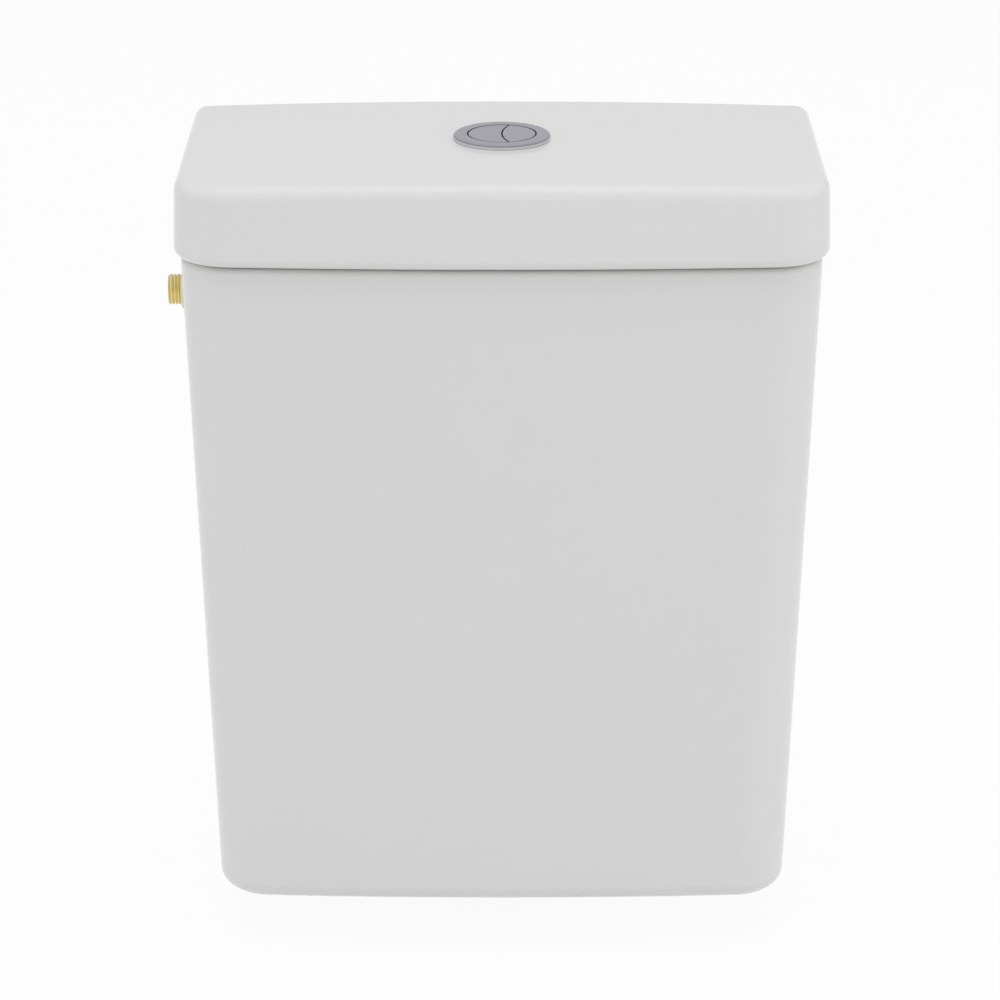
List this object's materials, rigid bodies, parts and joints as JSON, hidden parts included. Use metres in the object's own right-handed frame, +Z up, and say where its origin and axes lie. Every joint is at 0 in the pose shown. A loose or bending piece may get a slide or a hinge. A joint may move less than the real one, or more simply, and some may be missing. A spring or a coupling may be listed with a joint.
{
  "type": "toilet cistern",
  "caption": "Close-coupled ceramic toilet cistern with a lift-off lid, a dual push button, an outlet valve and a side inlet fill valve.",
  "frame": {"origin": "on the outlet's axis, in the plane of the tank's foot", "axes": "+Z up, -Y to the front, +X to the right seen from the front, where the inlet is on the left"},
  "size_m": [0.3445, 0.1798, 0.4365],
  "materials": {
    "china": "white glaze, glossy",
    "satin_chrome": "satin chrome plate",
    "brass": "bright brass",
    "white_plastic": "moulded white plastic",
    "grey_plastic": "moulded grey plastic",
    "blue_plastic": "moulded blue plastic",
    "black_rubber": "moulded rubber",
    "red_rubber": "silicone rubber",
    "steel": "zinc-plated steel"
  },
  "bodies": {
    "root": {"tank": "china", "lid_pads": "black_rubber", "valve_base": "white_plastic", "valve_cage": "white_plastic", "base_gasket": "black_rubber", "outlet_backnut": "grey_plastic", "coupling_gasket": "black_rubber", "valve_tower": "white_plastic", "tower_deck": "white_plastic", "rocker_pin": "steel", "coupling_bolts": "steel", "bolt_rubber_washers": "black_rubber", "bolt_steel_washers": "steel", "bolt_nuts": "steel", "inlet_tail": "brass", "inlet_nut": "white_plastic", "inlet_washer": "black_rubber", "inlet_filter": "grey_plastic", "fill_valve_body": "white_plastic", "fill_diaphragm": "red_rubber", "fill_valve_cap": "grey_plastic", "silencer_tube": "white_plastic", "arm_pin": "steel"},
    "lid": {"lid": "china", "button_bezel": "satin_chrome", "button_washer": "black_rubber", "button_locknut": "grey_plastic", "button_carrier": "white_plastic", "full_button_spring": "steel", "half_button_spring": "steel"},
    "full_button": {"full_flush_button": "satin_chrome", "full_push_rod": "grey_plastic"},
    "half_button": {"half_flush_button": "satin_chrome", "half_push_rod": "grey_plastic"},
    "full_rocker": {"full_rocker": "blue_plastic"},
    "half_rocker": {"half_rocker": "grey_plastic"},
    "flush_tube": {"overflow_tube": "white_plastic", "flush_seal": "red_rubber", "seal_clamp": "blue_plastic", "lift_collar": "blue_plastic", "full_lift_rod": "blue_plastic"},
    "half_lift": {"half_lift_rod": "grey_plastic", "half_flush_float": "grey_plastic"},
    "float_arm": {"float_arm": "white_plastic"},
    "float": {"float_rod": "white_plastic", "float_adjuster": "blue_plastic", "float_cup": "white_plastic"}
  },
  "joints": [
    {"name": "lid_lift", "type": "slide", "parent": "root", "child": "lid", "axis": [0, 0, 1], "range_m": [0, 0.16]},
    {"name": "full_button_press", "type": "slide", "parent": "lid", "child": "full_button", "axis": [0, 0, -1], "range_m": [0, 0.006], "stiffness_N_per_m": 300, "springref_m": -0.006, "deforming": ["full_button_spring"]},
    {"name": "half_button_press", "type": "slide", "parent": "lid", "child": "half_button", "axis": [0, 0, -1], "range_m": [0, 0.006], "stiffness_N_per_m": 300, "springref_m": -0.006, "deforming": ["half_button_spring"]},
    {"name": "full_rocker_turn", "type": "hinge", "parent": "root", "child": "full_rocker", "pos_m": [0, 0.005, 0.31], "axis": [1, 0, 0], "range_deg": [0, 28.96]},
    {"name": "half_rocker_turn", "type": "hinge", "parent": "root", "child": "half_rocker", "pos_m": [0, 0.005, 0.31], "axis": [1, 0, 0], "range_deg": [0, 28.96]},
    {"name": "flush_tube_lift", "type": "slide", "parent": "root", "child": "flush_tube", "axis": [0, 0, 1], "range_m": [0, 0.01]},
    {"name": "half_rod_lift", "type": "slide", "parent": "root", "child": "half_lift", "axis": [0, 0, 1], "range_m": [0, 0.01]},
    {"name": "float_rise", "type": "slide", "parent": "root", "child": "float", "axis": [0, 0, 1], "range_m": [0, 0.016]},
    {"name": "float_arm_swing", "type": "hinge", "parent": "root", "child": "float_arm", "pos_m": [-0.11236, 0, 0.3465], "axis": [0, -1, 0], "range_deg": [0, 33.2]}
  ],
  "couplings": [
    {"joint": "full_rocker_turn", "follows": "full_button_press", "rad_per_m": 84.228},
    {"joint": "flush_tube_lift", "follows": "full_button_press", "ratio": 1.6666},
    {"joint": "half_rocker_turn", "follows": "half_button_press", "rad_per_m": 84.228},
    {"joint": "half_rod_lift", "follows": "half_button_press", "ratio": 1.6666},
    {"joint": "float_arm_swing", "follows": "float_rise", "rad_per_m": 36.215}
  ]
}
